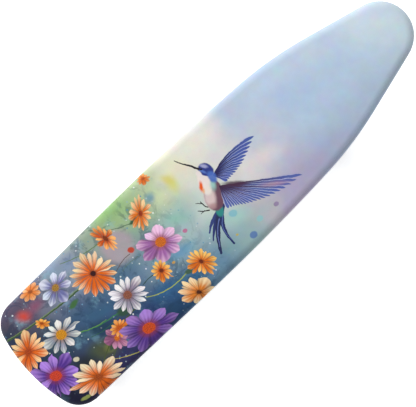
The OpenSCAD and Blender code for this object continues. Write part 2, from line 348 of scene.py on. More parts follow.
def bound_shape(pucker):
    def shape(i, inset, height):
        p = on_edge(i, inset, height)
        swell = 1 + pucker * math.sin(2 * phase[i] + 0.8)
        p.z = binding_z + (height - binding_z) * swell + fold_height(i) * 0.92
        return p
    return shape


binding = loft("gathered_binding", oval_rings(2.4 * MM, 1.15 * MM, 10), bound_shape(PUCKER), closed=True)
elastic = loft("flat_elastic", oval_rings(1.5 * MM, 0.45 * MM, 8), bound_shape(0), closed=True)

STITCH_EVERY = 2.7 * MM
STITCH_LONG, STITCH_THICK = 1.9 * MM, 0.36 * MM
stitch_rows = (BINDING_MID - 1.5 * MM, BINDING_MID + 1.6 * MM)
stitch_z = binding_z - 0.95 * MM
bm = bmesh.new()
bmesh.ops.create_uvsphere(bm, u_segments=6, v_segments=5, radius=0.5)
bmesh.ops.scale(bm, vec=(STITCH_THICK, STITCH_THICK, STITCH_LONG), verts=bm.verts)
one_stitch = bpy.data.meshes.new("one_stitch")
bm.to_mesh(one_stitch)
bm.clear()
for row in stitch_rows:
    travelled, due = 0.0, 0.0
    for i in range(count):
        here = bound_shape(PUCKER)(i, row, stitch_z)
        there = bound_shape(PUCKER)((i + 1) % count, row, stitch_z)
        travelled += (there - here).length
        if travelled < due:
            continue
        due += STITCH_EVERY
        aim = Matrix.Translation(here) @ (there - here).to_track_quat("Z", "Y").to_matrix().to_4x4()
        one_stitch.transform(aim)
        bm.from_mesh(one_stitch)
        one_stitch.transform(aim.inverted())
stitches = make_piece("binding_stitches", bm, math.radians(180))

# %% [markdown]
# ## Bent rods
# The base and the two arms are closed loops of round rod. A circle is spun through each corner and
# extruded along each side, so every bend is a true arc. The ends meet where the loop began.

# %% Rod loops
def rod_loop(name, length, width, radius, bend_radius, place, sides=28):
    """A rounded rectangle of round rod in the XY plane, put in place by a matrix."""
    bm = bmesh.new()
    start = Vector((length / 2 - bend_radius, -width / 2, 0))
    ring = bmesh.ops.create_circle(bm, segments=sides, radius=radius)["verts"]
    bmesh.ops.rotate(bm, matrix=Matrix.Rotation(math.pi / 2, 3, "Y"), verts=ring)
    bmesh.ops.translate(bm, vec=start, verts=ring)
    edges = list(bm.edges)
    heading = Vector((1, 0, 0))
    centre = start + Vector((0, bend_radius, 0))
    for run in (width - 2 * bend_radius, length - 2 * bend_radius) * 2:
        made = bmesh.ops.spin(bm, geom=edges, cent=centre, axis=(0, 0, 1), angle=math.pi / 2,
                              steps=14, use_duplicate=False)["geom_last"]
        edges = [g for g in made if isinstance(g, bmesh.types.BMEdge)]
        heading = Vector((-heading.y, heading.x, 0))
        made = bmesh.ops.extrude_edge_only(bm, edges=edges)["geom"]
        fresh = [g for g in made if isinstance(g, bmesh.types.BMVert)]
        edges = [g for g in made if isinstance(g, bmesh.types.BMEdge)
                 and g.verts[0] in fresh and g.verts[1] in fresh]
        bmesh.ops.translate(bm, vec=heading * run, verts=fresh)
        centre += heading * run
    bmesh.ops.remove_doubles(bm, verts=bm.verts, dist=1e-6)
    bmesh.ops.recalc_face_normals(bm, faces=bm.faces)
    bm.transform(place)
    return make_piece(name, bm)


base_low, base_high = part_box("base_loop")
BASE_R = (base_high.z - base_low.z) / 2
base_place = Matrix.Translation((base_low + base_high) / 2)
base_rod = rod_loop("base_rod", base_high.x - base_low.x - 2 * BASE_R,
                    base_high.y - base_low.y - 2 * BASE_R, BASE_R, 22 * MM, base_place, 32)
joints = {j["name"]: j for j in frame["joints"]}
ARM_R, ARM_BEND = 3.5 * MM, 10 * MM
lower_rear = Vector(joints["fold"]["pos_m"])
lower_front = Vector(joints["front_arm_swing"]["pos_m"])
upper_rear = Vector(joints["board_level"]["pos_m"])
arm_vector = upper_rear - lower_rear
arm_low, arm_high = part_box("rear_arm")
arm_width = arm_high.y - arm_low.y - 2 * ARM_R
arm_turn = Matrix.Rotation(-math.atan2(arm_vector.z, arm_vector.x), 4, "Y")
arms = {}
for body, pivot in (("rear_arm", lower_rear), ("front_arm", lower_front)):
    place = Matrix.Translation(pivot + arm_vector / 2) @ arm_turn
    arms[body] = rod_loop(body + "_rod", arm_vector.length, arm_width, ARM_R, ARM_BEND, place)

# %% [markdown]
# ## Soft edges on pressed steel
# Sheet steel from a press never has a perfectly sharp edge, and that thin bright line along an edge is
# what makes metal look real. Each steel and rubber part is copied from the frame, its loose triangles
# are merged, and a small bevel is put on the edges that turn sharply. The frame's own part stays hidden
# behind the copy.

# %% Soften the edges of the frame's parts
EDGE_ROUND = {"rivets": 0.45 * MM, "foot": 1.1 * MM, "rest_buffer": 0.8 * MM, "top_panel": 0.12 * MM,
              "rim_band": 0.2 * MM}
SHEET_ROUND = 0.28 * MM


def soften(node, width):
    mesh = frame["nodes"][node].data.copy()
    bm = bmesh.new()
    bm.from_mesh(mesh)
    bmesh.ops.remove_doubles(bm, verts=bm.verts, dist=2e-6)
    bmesh.ops.dissolve_limit(bm, angle_limit=math.radians(0.4), verts=bm.verts, edges=bm.edges)
    bpy.data.meshes.remove(mesh)
    piece = make_piece(node + "_part", bm, math.radians(30))
    bevel = piece.modifiers.new("soft edge", "BEVEL")
    bevel.width = width
    bevel.segments = 2
    bevel.limit_method = "ANGLE"
    bevel.angle_limit = math.radians(38)
    bevel.harden_normals = True
    return piece


made_another_way = {"cover", "hem_binding", "hem_elastic", "pad", "base_loop", "rear_arm", "front_arm"}
softened = {}
for node in frame["nodes"]:
    if node not in made_another_way:
        width = next((w for key, w in EDGE_ROUND.items() if key in node), SHEET_ROUND)
        softened[node] = soften(node, width)
print(len(softened), "parts softened")

# %% [markdown]
# ## Building finishes from nodes
# Every finish is a small network of nodes. Two short helpers keep them readable: one makes a node and
# plugs values or sockets into it, and the other starts a material with its shader and the position
# that the pattern follows. Patterns are measured in metres on the object itself.

# %% Node helpers
def plug(tree, value, socket):
    if isinstance(value, bpy.types.NodeSocket):
        tree.links.new(value, socket)
    elif value is not None:
        socket.default_value = value


def add(tree, kind, *values, out=0, **settings):
    """A node of a kind, its settings made and its inputs filled in order. Returns an output."""
    node = tree.nodes.new("ShaderNode" + kind)
    for key, value in settings.items():
        setattr(node, key, value)
    for value, socket in zip(values, [s for s in node.inputs if s.enabled]):
        plug(tree, value, socket)
    return [s for s in node.outputs if s.enabled][out]


def calc(tree, operation, *values, clamp=False):
    return add(tree, "Math", *values, operation=operation, use_clamp=clamp)


def times(tree, a, b):
    return calc(tree, "MULTIPLY", a, b)


def vector(tree, operation, *values):
    return add(tree, "VectorMath", *values, operation=operation)


def mix(tree, factor, a, b, kind="MIX"):
    return add(tree, "Mix", factor, a, b, data_type="RGBA", blend_type=kind)


def remap(tree, value, low, high, to_low=0.0, to_high=1.0, smooth=True):
    return add(tree, "MapRange", value, low, high, to_low, to_high,
               interpolation_type="SMOOTHSTEP" if smooth else "LINEAR")


def grain(tree, where, scale, detail=2.0, roughness=0.5, distortion=0.0, out="Fac"):
    node = tree.nodes.new("ShaderNodeTexNoise")
    plug(tree, where, node.inputs["Vector"])
    node.inputs["Scale"].default_value = scale
    node.inputs["Detail"].default_value = detail
    node.inputs["Roughness"].default_value = roughness
    node.inputs["Distortion"].default_value = distortion
    return node.outputs[out]


def start_material(name):
    material = bpy.data.materials.new(name)
    material.use_nodes = True
    tree = material.node_tree
    shader = tree.nodes["Principled BSDF"]
    where = tree.nodes.new("ShaderNodeTexCoord").outputs["Object"]
    return material, tree, shader, where


def bump(tree, shader, height, distance, strength=1.0):
    node = tree.nodes.new("ShaderNodeBump")
    node.inputs["Distance"].default_value = distance
    node.inputs["Strength"].default_value = strength
    plug(tree, height, node.inputs["Height"])
    tree.links.new(node.outputs["Normal"], shader.inputs["Normal"])


def finish(tree, shader, **values):
    """Plugs or sets the shader's sockets. Base_Color stands for the socket Base Color."""
    for name, value in values.items():
        plug(tree, value, shader.inputs[name.replace("_", " ")])


def ink(code):
    """A colour written as it would be on screen, such as "c6d9eb", in the linear values of a shader."""
    parts = [int(code[k:k + 2], 16) / 255 for k in (0, 2, 4)]
    return tuple(c / 12.92 if c <= 0.04045 else ((c + 0.055) / 1.055) ** 2.4 for c in parts) + (1,)


# %% [markdown]
# ## Steel, paint and rubber
# The zinc-plated sheet shows the faint streaks of rolling, the powder coat on the rods has a fine
# orange-peel skin, the spring steel is darker with heat tints, and the rubber is matt with a dusty bloom.

# %% Metal and rubber finishes
def metal(name, base, streak, roughness, streak_scale=(900, 60, 900), grain_depth=0.01):
    material, tree, shader, where = start_material(name)
    stretched = vector(tree, "MULTIPLY", where, streak_scale)
    streaks = grain(tree, stretched, 1.0, 4.0, 0.6)
    clouds = grain(tree, where, 55, 3.0)
    tone = calc(tree, "MULTIPLY_ADD", streaks, 0.55,
                times(tree, clouds, 0.45))
    colour = mix(tree, remap(tree, tone, 0.32, 0.68), ink(streak), ink(base))
    rough = remap(tree, tone, 0.3, 0.7, roughness - 0.07, roughness + 0.09)
    finish(tree, shader, Base_Color=colour, Metallic=1.0, Roughness=rough)
    bump(tree, shader, streaks, grain_depth * MM, 0.6)
    return material


zinc = metal("zinc_plate", "d3d7dc", "a9afb8", 0.34)
bright_zinc = metal("bright_zinc", "dcdcdd", "b2b3b6", 0.27, (300, 300, 300))
spring = metal("spring_steel", "9a9894", "6d6b70", 0.30, (60, 60, 1200))


def powder_coat():
    material, tree, shader, where = start_material("grey_powder_coat")
    peel = grain(tree, where, 1500, 2.0, 0.5)
    slow = grain(tree, where, 30, 2.0)
    colour = mix(tree, remap(tree, slow, 0.3, 0.7), ink("c3c6c9"), ink("d0d3d5"))
    fleck = remap(tree, peel, 0.66, 0.78, 0.0, 0.3)
    colour = mix(tree, fleck, colour, ink("989ca1"))
    rough = remap(tree, slow, 0.3, 0.7, 0.36, 0.46)
    finish(tree, shader, Base_Color=colour, Roughness=rough)
    bump(tree, shader, peel, 0.05 * MM, 0.5)
    return material


def black_rubber():
    material, tree, shader, where = start_material("black_rubber")
    speck = grain(tree, where, 1100, 3.0, 0.6)
    bloom = grain(tree, where, 70, 3.0)
    colour = mix(tree, remap(tree, bloom, 0.35, 0.75), ink("1e1e20"), ink("343437"))
    rough = remap(tree, bloom, 0.3, 0.7, 0.62, 0.8)
    finish(tree, shader, Base_Color=colour, Roughness=rough)
    bump(tree, shader, speck, 0.06 * MM, 0.6)
    return material


coated, rubber = powder_coat(), black_rubber()

# %% [markdown]
# ## Felt, tape and elastic
# Felt is a mat of short fibres, made here from a stretched noise that is itself pushed about by another.
# The tape and the elastic are woven, so they take a fine rib across their length.

# %% Soft finishes under the cover
def felt():
    material, tree, shader, where = start_material("needled_felt")
    fibre = grain(tree, where, 420, 5.0, 0.7, 2.5)
    patch = grain(tree, where, 60, 3.0)
    colour = mix(tree, remap(tree, fibre, 0.3, 0.7), ink("c9c3b4"), ink("ece8dd"))
    colour = mix(tree, remap(tree, patch, 0.55, 0.8, 0.0, 0.3), colour, ink("b9b6b0"))
    finish(tree, shader, Base_Color=colour, Roughness=0.95, Sheen_Weight=0.35)
    bump(tree, shader, fibre, 0.4 * MM)
    return material


def ribbed(name, light, dark, rib_pitch, roughness):
    material, tree, shader, where = start_material(name)
    flat = add(tree, "Attribute", attribute_name="flat", out=1)
    rib = add(tree, "TexWave", flat, math.tau / 20 / rib_pitch, wave_type="RINGS", bands_direction="Z")
    fuzz = grain(tree, where, 2200, 3.0, 0.7)
    tone = calc(tree, "MULTIPLY_ADD", rib, 0.4, times(tree, fuzz, 0.6))
    colour = mix(tree, remap(tree, tone, 0.2, 0.8), ink(dark), ink(light))
    finish(tree, shader, Base_Color=colour, Roughness=roughness, Sheen_Weight=0.2)
    bump(tree, shader, tone, 0.12 * MM)
    return material


felt_finish = felt()
tape_finish = ribbed("binding_cotton", "f1f1ee", "cfd0cf", 0.9 * MM, 0.85)
elastic_finish = ribbed("braided_elastic", "fafaf7", "d8d8d4", 0.7 * MM, 0.7)
thread_finish = ribbed("white_thread", "f7f7f4", "d6d6d2", 0.5 * MM, 0.6)

# %% [markdown]
# ## Brushes for the print
# The cotton is printed with a watercolour: soft washes of colour, a meadow of daisies and a small bird.
# A painter builds this from a few strokes used again and again, so the nodes do the same. Each brush
# is a node group that takes the painting so far and lays one more shape on it. Sizes and places
# are in millimetres on the artwork, measured from the middle of the board, with U to the right and
# V up as the picture is seen.

# %% The brush groups
def brush(name, colours, numbers):
    """A node group that lays one shape over the painting so far."""
    group = bpy.data.node_groups.new(name, "ShaderNodeTree")
    group.interface.new_socket("Painting", in_out="OUTPUT", socket_type="NodeSocketColor")
    kinds = [("U", "Float"), ("V", "Float"), ("Fleck", "Float"), ("Under", "Color")]
    kinds += [(c, "Color") for c in colours] + [(n, "Float") for n in numbers]
    for field, kind in kinds:
        group.interface.new_socket(field, in_out="INPUT", socket_type="NodeSocket" + kind)
    return group, group.nodes.new("NodeGroupInput").outputs, group.nodes.new("NodeGroupOutput").inputs[0]


def local(tree, inputs):
    """How far a point lies along and across a shape, from the shape's own centre.

    A trace of the painting so far, too small to show, makes each stroke wait for the one before it.
    Without that the renderer works out every stroke at once and runs out of room for them.
    """
    after = calc(tree, "MULTIPLY_ADD", inputs["Under"], 1e-9, inputs["U"])
    du = calc(tree, "SUBTRACT", after, inputs["Cu"])
    dv = calc(tree, "SUBTRACT", inputs["V"], inputs["Cv"])
    c, s = calc(tree, "COSINE", inputs["Turn"]), calc(tree, "SINE", inputs["Turn"])
    along = calc(tree, "MULTIPLY_ADD", du, c, times(tree, dv, s))
    across = calc(tree, "SUBTRACT", times(tree, dv, c), times(tree, du, s))
    return along, across


def length(tree, x, y):
    return calc(tree, "SQRT", calc(tree, "MULTIPLY_ADD", x, x, times(tree, y, y)))


def off_centre(tree, turns):
    """0 in the middle of each whole turn, 1 half way between two of them."""
    whole = calc(tree, "ROUND", turns)
    return times(tree, calc(tree, "ABSOLUTE", calc(tree, "SUBTRACT", turns, whole)), 2.0)


OVAL = ["Cu", "Cv", "Su", "Sv", "Turn"]


def wash_brush():
    """An oval of colour whose edge is as soft as asked."""
    tree, inputs, out = brush("wash", ["Colour"], OVAL + ["Soft", "Strength"])
    along, across = local(tree, inputs)
    far = length(tree, calc(tree, "DIVIDE", along, inputs["Su"]), calc(tree, "DIVIDE", across, inputs["Sv"]))
    inner = calc(tree, "SUBTRACT", 1.0, inputs["Soft"])
    amount = times(tree, remap(tree, far, 1.0, inner), inputs["Strength"])
    tree.links.new(mix(tree, amount, inputs["Under"], inputs["Colour"]), out)
    return tree


def flower_brush():
    """A daisy: petals of uneven length round a speckled eye."""
    tree, inputs, out = brush("flower", ["Root", "Tip", "Eye"], OVAL + ["Petals", "Slim", "Core"])
    along, across = local(tree, inputs)
    x, y = calc(tree, "DIVIDE", along, inputs["Su"]), calc(tree, "DIVIDE", across, inputs["Sv"])
    far = length(tree, x, y)
    around = calc(tree, "ARCTAN2", y, x)
    turns = times(tree, around, calc(tree, "DIVIDE", inputs["Petals"], 2 * math.pi))
    turns = calc(tree, "MULTIPLY_ADD", calc(tree, "SINE", times(tree, turns, 1.7)), 0.16, turns)
    petal = calc(tree, "ROUND", calc(tree, "WRAP", turns, inputs["Petals"], 0.0))
    key = calc(tree, "MULTIPLY_ADD", inputs["Turn"], 3.7, petal)
    mixed = calc(tree, "SINE", times(tree, key, 12.99))
    chance = calc(tree, "FRACT", times(tree, mixed, 4375.85))
    off = off_centre(tree, turns)
    reach = calc(tree, "MULTIPLY_ADD", chance, -0.34, 1.14)
    share = calc(tree, "DIVIDE", far, reach)
    taper = calc(tree, "POWER", calc(tree, "SUBTRACT", share, 0.62, clamp=True), 2.0)
    width = calc(tree, "MULTIPLY_ADD", taper, -7.2, 1.04)
    slim = times(tree, off, inputs["Slim"])
    petal_mask = remap(tree, calc(tree, "SUBTRACT", width, slim), 0.0, 0.12)
    lines = times(tree, calc(tree, "COSINE", times(tree, off, 12.0)), 0.08)
    shade = calc(tree, "MULTIPLY_ADD", calc(tree, "POWER", slim, 3.0), -0.55, lines)
    shade = calc(tree, "ADD", shade, calc(tree, "MULTIPLY_ADD", chance, 0.32, 0.84))
    ray = times(tree, calc(tree, "COSINE", times(tree, off, 9.0)), 0.1)
    blush = calc(tree, "MULTIPLY_ADD", across, 0.012, calc(tree, "ADD", share, ray))
    blush = calc(tree, "MULTIPLY_ADD", chance, 0.4, blush)
    colour = mix(tree, remap(tree, blush, 0.46, 1.16), inputs["Root"], inputs["Tip"])
    colour = mix(tree, 1.0, colour, add(tree, "CombineColor", shade, shade, shade), "MULTIPLY")
    painted = mix(tree, petal_mask, inputs["Under"], colour)
    deep = mix(tree, 0.6, inputs["Eye"], ink("30100a"))
    ring = calc(tree, "DIVIDE", far, inputs["Core"])
    shadow = times(tree, remap(tree, ring, 2.1, 1.0, 0.0, 0.5), petal_mask)
    painted = mix(tree, shadow, painted, deep)
    eye = remap(tree, ring, 1.08, 0.9)
    painted = mix(tree, eye, painted, inputs["Eye"])
    tree.links.new(mix(tree, times(tree, eye, inputs["Fleck"]), painted, deep), out)
    return tree


def fan_brush():
    """Feathers round a shoulder, from a first length to a last, that may bend as they run out."""
    tree, inputs, out = brush("fan", ["Root", "Tip", "Gap"], [
        "Cu", "Cv", "Turn", "Spread", "Feathers", "First", "Last", "Growth", "Bend"])
    along, across = local(tree, inputs)
    far = length(tree, along, across)
    angle = calc(tree, "MULTIPLY_ADD", far, inputs["Bend"], calc(tree, "ARCTAN2", across, along))
    share = calc(tree, "DIVIDE", angle, inputs["Spread"])
    crowded = calc(tree, "POWER", calc(tree, "MAXIMUM", share, 0.0), 1.5)
    turns = calc(tree, "MULTIPLY_ADD", crowded, inputs["Feathers"], -0.5)
    feather = calc(tree, "ROUND", turns)
    step = calc(tree, "DIVIDE", calc(tree, "ADD", feather, 0.5), inputs["Feathers"], clamp=True)
    growth = calc(tree, "POWER", step, inputs["Growth"])
    reach = remap(tree, growth, 0.0, 1.0, inputs["First"], inputs["Last"], smooth=False)
    off = off_centre(tree, turns)
    tip = calc(tree, "MULTIPLY_ADD", calc(tree, "POWER", off, 2.0), -0.12, 1.0)
    run = calc(tree, "DIVIDE", far, times(tree, reach, tip))
    window = times(tree, remap(tree, share, -0.01, 0.01), remap(tree, share, 1.01, 0.99))
    mask = times(tree, remap(tree, run, 1.0, 0.97), window)
    sway = times(tree, calc(tree, "SINE", times(tree, feather, 2.4)), 0.14)
    colour = mix(tree, remap(tree, calc(tree, "ADD", run, sway), 0.12, 0.85), inputs["Root"], inputs["Tip"])
    gap = times(tree, remap(tree, off, 0.66, 1.0), remap(tree, run, 0.2, 0.6))
    tree.links.new(mix(tree, mask, inputs["Under"], mix(tree, gap, colour, inputs["Gap"])), out)
    return tree


def stroke_brush():
    """A bowed line of a length and direction that changes from its first width to its last."""
    tree, inputs, out = brush("stroke", ["Colour"], ["Cu", "Cv", "Turn", "Long", "Bow", "Thick", "Thin"])
    along, across = local(tree, inputs)
    share = calc(tree, "DIVIDE", along, inputs["Long"], clamp=True)
    past = calc(tree, "SUBTRACT", along, times(tree, share, inputs["Long"]))
    curve = times(tree, share, calc(tree, "SUBTRACT", 1.0, share))
    aside = calc(tree, "SUBTRACT", across, times(tree, curve, inputs["Bow"]))
    width = remap(tree, share, 0.0, 1.0, inputs["Thick"], inputs["Thin"], smooth=False)
    mask = remap(tree, calc(tree, "SUBTRACT", length(tree, past, aside), width), 0.22, -0.22)
    tree.links.new(mix(tree, mask, inputs["Under"], inputs["Colour"]), out)
    return tree


BRUSHES = {"wash": wash_brush(), "flower": flower_brush(), "fan": fan_brush(), "stroke": stroke_brush()}
print("brushes:", sorted(BRUSHES))

# %% [markdown]
# ## The ground colours
# Before any shape, the whole cloth gets a ground that runs from a pale sky at the nose to a dark meadow
# at the heel. Three ramps hold the colours along the left side, the middle and the right side.

# %% Colours along the cloth
GROUND_AT = (-255, -215, -170, -125, -85, -45, -5, 30, 65, 110, 170, 255)
GROUND = {
    "left": "2b3448 5c5066 8f9cb0 95a596 9dbb88 bdcda6 e8e5d6 dddcde bccbe0 bdd0e7 c4d5e6 d4e3ef",
    "middle": "22264c 2f4656 3a587a 547490 7f98a6 a8c2c2 d0d9d0 dcd9d8 c8cbdc b6cce3 b8cce6 c8d9e5",
    "right": "10123a 282450 2c2e5c 213a6a 2c6086 6b8fa6 97b6b8 bbb9c4 b3acc8 a9b5d0 afc3d8 bccbd8",
}


def ground(tree, x, y):
    """The ground colour at a place on the flat cloth, in millimetres along and across it."""
    share = remap(tree, x, -255, 255, smooth=False)
    ramps = {}
    for side, codes in GROUND.items():
        node = tree.nodes.new("ShaderNodeValToRGB")
        plug(tree, share, node.inputs[0])
        node.color_ramp.interpolation = "EASE"
        stops = node.color_ramp.elements
        for at, code in zip(GROUND_AT, codes.split()):
            place = (at + 255) / 510
            stop = stops[0] if at == GROUND_AT[0] else stops[-1] if at == GROUND_AT[-1] else stops.new(place)
            stop.position, stop.color = place, ink(code)
        ramps[side] = node.outputs[0]
    colour = mix(tree, remap(tree, y, 4, 46), ramps["middle"], ramps["left"])
    return mix(tree, remap(tree, y, -6, -46), colour, ramps["right"])


# %% [markdown]
# ## The painting
# The painting is laid down in a painter's order: local washes, drops, stems and leaves, the flowers
# from the back to the front, and the bird last.

# %% Washes, stems, flowers and bird
WASHES = [  # colour, centre, size, turn in degrees, softness, strength
    ("d2e1ee", (150, 172), (60, 40), 44, 1.0, 0.8), ("b0c8e4", (76, 92), (46, 26), 44, 1.0, 0.7),
    ("aba4c6", (92, 22), (46, 14), 50, 1.0, 0.6), ("ebe7df", (-16, 54), (34, 20), 40, 1.0, 0.9),
    ("e4dcda", (44, 34), (34, 14), 26, 1.0, 0.9), ("e4e3c4", (-42, 22), (26, 22), 0, 1.0, 0.8),
    ("dccf52", (-44, 8), (9, 15), 24, 0.9, 0.7), ("d6cc60", (-50, 12), (10, 6), -20, 0.9, 0.6),
    ("dee4bc", (-52, -4), (22, 14), 20, 1.0, 0.6),
    ("92bb76", (-106, -20), (24, 14), 45, 1.0, 0.8), ("4f87ae", (-66, -6), (8, 9), 0, 0.9, 0.7),
    ("8cc0b4", (-38, -26), (26, 12), 10, 1.0, 0.7), ("a6d0c8", (18, -24), (26, 12), 30, 1.0, 0.8),
    ("b0a2aa", (-97, -54), (22, 22), 20, 0.5, 0.9), ("7f96b2", (-148, -72), (24, 14), 40, 1.0, 0.7),
    ("5a97be", (-34, -58), (24, 10), 30, 0.9, 0.7), ("2a5f8c", (-50, -96), (24, 12), 40, 0.9, 0.8),
    ("345f82", (-112, -118), (30, 12), 30, 1.0, 0.8), ("163c5e", (-40, -116), (26, 12), 44, 0.9, 0.8),
    ("10394f", (-114, -134), (30, 12), 20, 0.9, 0.8), ("4a5434", (-110, -154), (24, 16), 20, 0.8, 0.9),
    ("1b2623", (-126, -168), (20, 14), 0, 0.9, 0.85), ("7b8038", (-104, -152), (9, 7), 20, 1.0, 0.8),
    ("d0483a", (-189, -122), (12, 9), 10, 1.0, 1.0), ("96506e", (-178, -112), (16, 9), 40, 1.0, 0.7),
    ("0c0e2c", (-136, -198), (34, 14), -20, 0.7, 0.9), ("12163a", (-172, -176), (22, 12), -44, 0.9, 0.9),
    ("2a2350", (-70, -158), (28, 12), 40, 0.9, 0.8),
]
DROPS = [
    ("c45c8c", (-31, -38), 2.8), ("4a6fb0", (36, -42), 4.6),
    ("8fc4cc", (42, -26), 4), ("7fbcc8", (16, -21), 5), ("c8b23c", (20, -42), 1.5),
    ("8f78a6", (58, -12), 3), ("e8e2bf", (-137, -164), 3.4),
    ("d9a03c", (-42, -69), 2),
]
STEMS = [  # colour, from, to, bow, width at each end
    ("3f5a34", (-129, -90), (-207, -148), 3, 1.7, 1.1), ("7f9a52", (-130, -89), (-206, -146), 3, 0.5, 0.5),
    ("a9b453", (-30, -80), (-68, -103), 4, 1.0, 0.9), ("b3ac5e", (-50, -136), (-108, -164), 7, 0.9, 0.8),
    ("46532d", (-80, -115), (-110, -167), -5, 1.3, 0.9), ("5f7d48", (-115, -50), (-154, -71), 2, 0.9, 0.6),
    ("5b4a46", (-85, -61), (-100, -82), -2, 0.7, 0.6), ("35784e", (-94, -117), (-141, -140), 3, 1.5, 0.9),
    ("6a9a4c", (-108, -125), (-134, -137), 2, 0.6, 0.6), ("28463a", (-60, -80), (-72, -91), -1, 1.0, 0.6),
    ("4d6a50", (-82, -30), (-126, -38), 3, 0.7, 0.5), ("5c7560", (-74, -62), (-92, -78), -2, 0.5, 0.5),
    ("4a5a33", (-96, -142), (-106, -170), 2, 0.7, 0.6), ("2c5a48", (-90, -112), (-122, -142), 4, 0.8, 0.6),
]
LEAVES = [
    ("3f6b38", (-140, -110), (8, 3.6), 50, 0.5, 0.95), ("2f4f3a", (-91, -117), (9, 6), 20, 0.5, 0.9),
    ("3f5f3c", (-27, -78), (5.5, 3), 25, 0.5, 0.9), ("33543a", (-82, -29), (6, 2.8), 40, 0.5, 0.95),
    ("5a6a34", (-107, -51), (5.4, 3), -30, 0.5, 0.9), ("33503a", (-59, -80), (4, 2.4), 40, 0.5, 0.9),
    ("9aa456", (-127, -201), (7, 2.2), 30, 0.4, 0.9), ("c0462f", (-84, -57), (4.2, 3.4), 10, 0.35, 1.0),
    ("2f4a3c", (-102, -151), (3, 6), -30, 0.5, 0.9),
]
ORANGE, BROWN = "e96d15", "7c2c0e"
FLOWERS = [  # root, tip, eye, centre, size, turn, petals, slimness, core
    (ORANGE, "e59a5c", "c25a20", (-73, 13), (7.8, 6.7), 10, 9, 1.0, 0.2),
    ("ec8136", "ecb07c", "b05a28", (-183, -98), (11.2, 10.1), 30, 8, 0.95, 0.15),
    ("ec7412", "fbd09a", "a83a12", (-75, -21), (11.8, 17.4), 8, 13, 1.05, 0.15),
    ("dc540e", "f8b468", "8a3a14", (-109, -46), (17.4, 9.5), -38, 12, 1.05, 0.18),
    ("a868ac", "eabfe0", "ee7a20", (-55, -49), (22.4, 20.7), 12, 8, 0.92, 0.24),
    ("e86c0c", "fcc468", BROWN, (-54, -77), (12.3, 10.1), -25, 12, 1.0, 0.16),
    ("e9700c", "fcc66a", BROWN, (-15, -68), (16.2, 13.4), -30, 15, 1.0, 0.14),
    ("e58028", "fadcaa", "5a2a14", (-17, -98), (23.5, 15.7), -15, 9, 0.95, 0.12),
    ("ee6a08", "fcdcae", "3a0e10", (-121, -80), (23, 21.8), 20, 17, 1.02, 0.12),
    ("7476b0", "d8dcf0", "b98a3a", (-158, -94), (19, 16.8), 60, 7, 1.12, 0.2),
    ("988ea6", "f4f1f1", "a0604c", (-87, -101), (21.3, 19), 5, 13, 1.04, 0.2),
    ("f07d18", "f7b456", "b0500c", (-171, -129), (7.8, 5.6), 10, 8, 1.0, 0.2),
    ("9aa0ae", "e6e6e0", "e8a01c", (-152, -140), (20.2, 19), 35, 10, 1.2, 0.26),
    ("9a5680", "c98aa8", "ef7a1c", (-97, -143), (13.4, 12.3), -70, 8, 0.95, 0.2),
    ("ee7a14", "f7b060", "d8600c", (-95, -133), (10.1, 9), 60, 11, 1.0, 0.25),
    ("57348f", "a27ccc", "e2541c", (-66, -133), (29.1, 22.4), 25, 9, 0.94, 0.23),
    ("ec660a", "fcd29c", "c04a0c", (-184, -157), (22.4, 19), 50, 13, 1.0, 0.16),
    ("553096", "ac80da", "e2482a", (-157, -180), (23.5, 28), 100, 9, 0.94, 0.22),
    ("ec6c0c", "fce6c2", "b8500c", (-115, -181), (29.1, 19), 18, 15, 0.98, 0.16),
]
BIRD_OVALS = [  # colour, centre, size, turn, softness, strength
    ("2f8f88", (2.5, -18), (5, 8), 20, 0.4, 0.95), ("6d4a5c", (-3, -3), (10.5, 17), 12, 0.14, 1.0),
    ("dcc6c6", (-7, -5), (8.2, 14), 12, 0.6, 1.0), ("eee4dd", (-12, 8.5), (7.4, 14), 20, 0.3, 1.0),
    ("9fcfcc", (-4, 7), (4.6, 8.4), 12, 0.9, 0.9),
    ("b98a92", (-4, -14), (6, 5), 0, 0.8, 0.7), ("ea5c18", (-15.4, 5), (2.8, 7.4), 10, 0.7, 1.0),
    ("f0a040", (-13, 1), (2, 4.4), 8, 0.9, 0.7), ("2c3a86", (-11, 21.8), (9, 6.8), -24, 0.2, 1.0),
    ("4a6fc0", (-4.6, 14.6), (5.2, 8.4), 36, 0.5, 0.95), ("b2b4de", (-13, 25.4), (6, 2.6), -16, 0.7, 0.8),
    ("5f80cc", (-14, 20), (6, 1.8), -20, 0.7, 0.8), ("efe4df", (-18, 17.6), (3, 4.2), 34, 0.5, 0.95),
    ("12122a", (-15.6, 22.2), (1.6, 1.2), 0, 0.3, 1.0),
]
TAIL = [  # colour, from, to, bow, width at each end
    ("34427e", (1, -20), (-7, -40), -1.5, 4.8, 1.6), ("2a3670", (1.5, -22), (-3, -48), -1.5, 4.6, 1.4),
    ("232c58", (3, -22), (4.4, -60), -2.5, 6.2, 2.4), ("6474b4", (2.6, -26), (3.2, -54), -2, 1.1, 0.6),
    ("1f2c62", (5.4, -14), (17, -50), -5, 5.6, 2.0), ("5468a8", (6.4, -20), (14.4, -46), -4.4, 1.0, 0.6),
]
CLAWS = [
    ("1e161e", (-9, -15), (-16, -10), 0.8, 1.4, 0.9), ("1e161e", (-15, -11.6), (-21, -11.6), 0, 0.9, 0.5),
    ("1e161e", (-7.5, -18), (-18.4, -19), 0.8, 1.4, 0.7), ("1e161e", (-12, -18.6), (-15.6, -22), 0, 0.9, 0.5),
]


def in_meadow(tree, art, start, full):
    """0 in the sky and 1 in the meadow, which begins at a slant across the cloth."""
    where = tree.nodes.new("ShaderNodeSeparateXYZ")
    plug(tree, art, where.inputs[0])
    return remap(tree, calc(tree, "ADD", where.outputs[0], where.outputs[1]), start, full)


